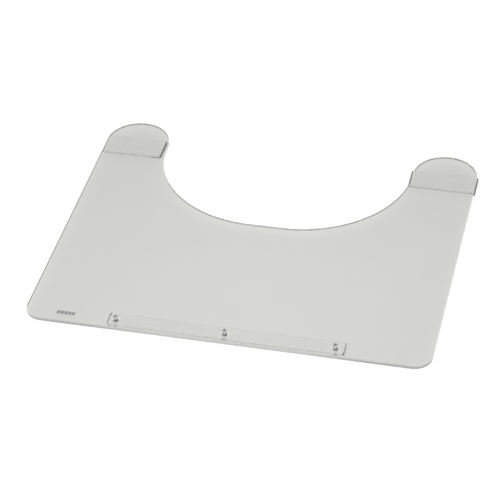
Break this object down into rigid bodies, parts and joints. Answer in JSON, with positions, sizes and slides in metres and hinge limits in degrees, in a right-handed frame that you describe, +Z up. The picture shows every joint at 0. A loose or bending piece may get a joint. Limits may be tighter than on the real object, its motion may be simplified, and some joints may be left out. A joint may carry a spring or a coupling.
{
  "type": "wheelchair lap tray",
  "caption": "Clear plastic wheelchair lap tray: flat sheet with a rounded belly cut-out between two horns, a screwed front strip beneath and rest strips under the horns.",
  "frame": {"origin": "middle of the bounding box, at the level of the lowest point (the screw tips)", "axes": "+Z up, out of the tray's top face; +X to the right of the user's view from the front edge, along the straight front edge; +Y from the straight front edge to the two horns, towards the seated user"},
  "size_m": [0.603, 0.5079, 0.0184],
  "materials": {
    "clear_sheet": "clear polished plastic sheet",
    "clear_strip": "clear polished plastic strip",
    "screw_metal": "dark pan-head screw",
    "washer_metal": "plain washer",
    "nut_metal": "plain hex nut",
    "label_ink": "thin blank printed label"
  },
  "bodies": {
    "root": {"tray_panel": "clear_sheet", "front_strip": "clear_strip", "rest_strip_left": "clear_strip", "rest_strip_right": "clear_strip", "maker_label": "label_ink", "screw_left": "screw_metal", "washer_left": "washer_metal", "nut_left": "nut_metal", "screw_middle": "screw_metal", "washer_middle": "washer_metal", "nut_middle": "nut_metal", "screw_right": "screw_metal", "washer_right": "washer_metal", "nut_right": "nut_metal"}
  },
  "joints": []
}
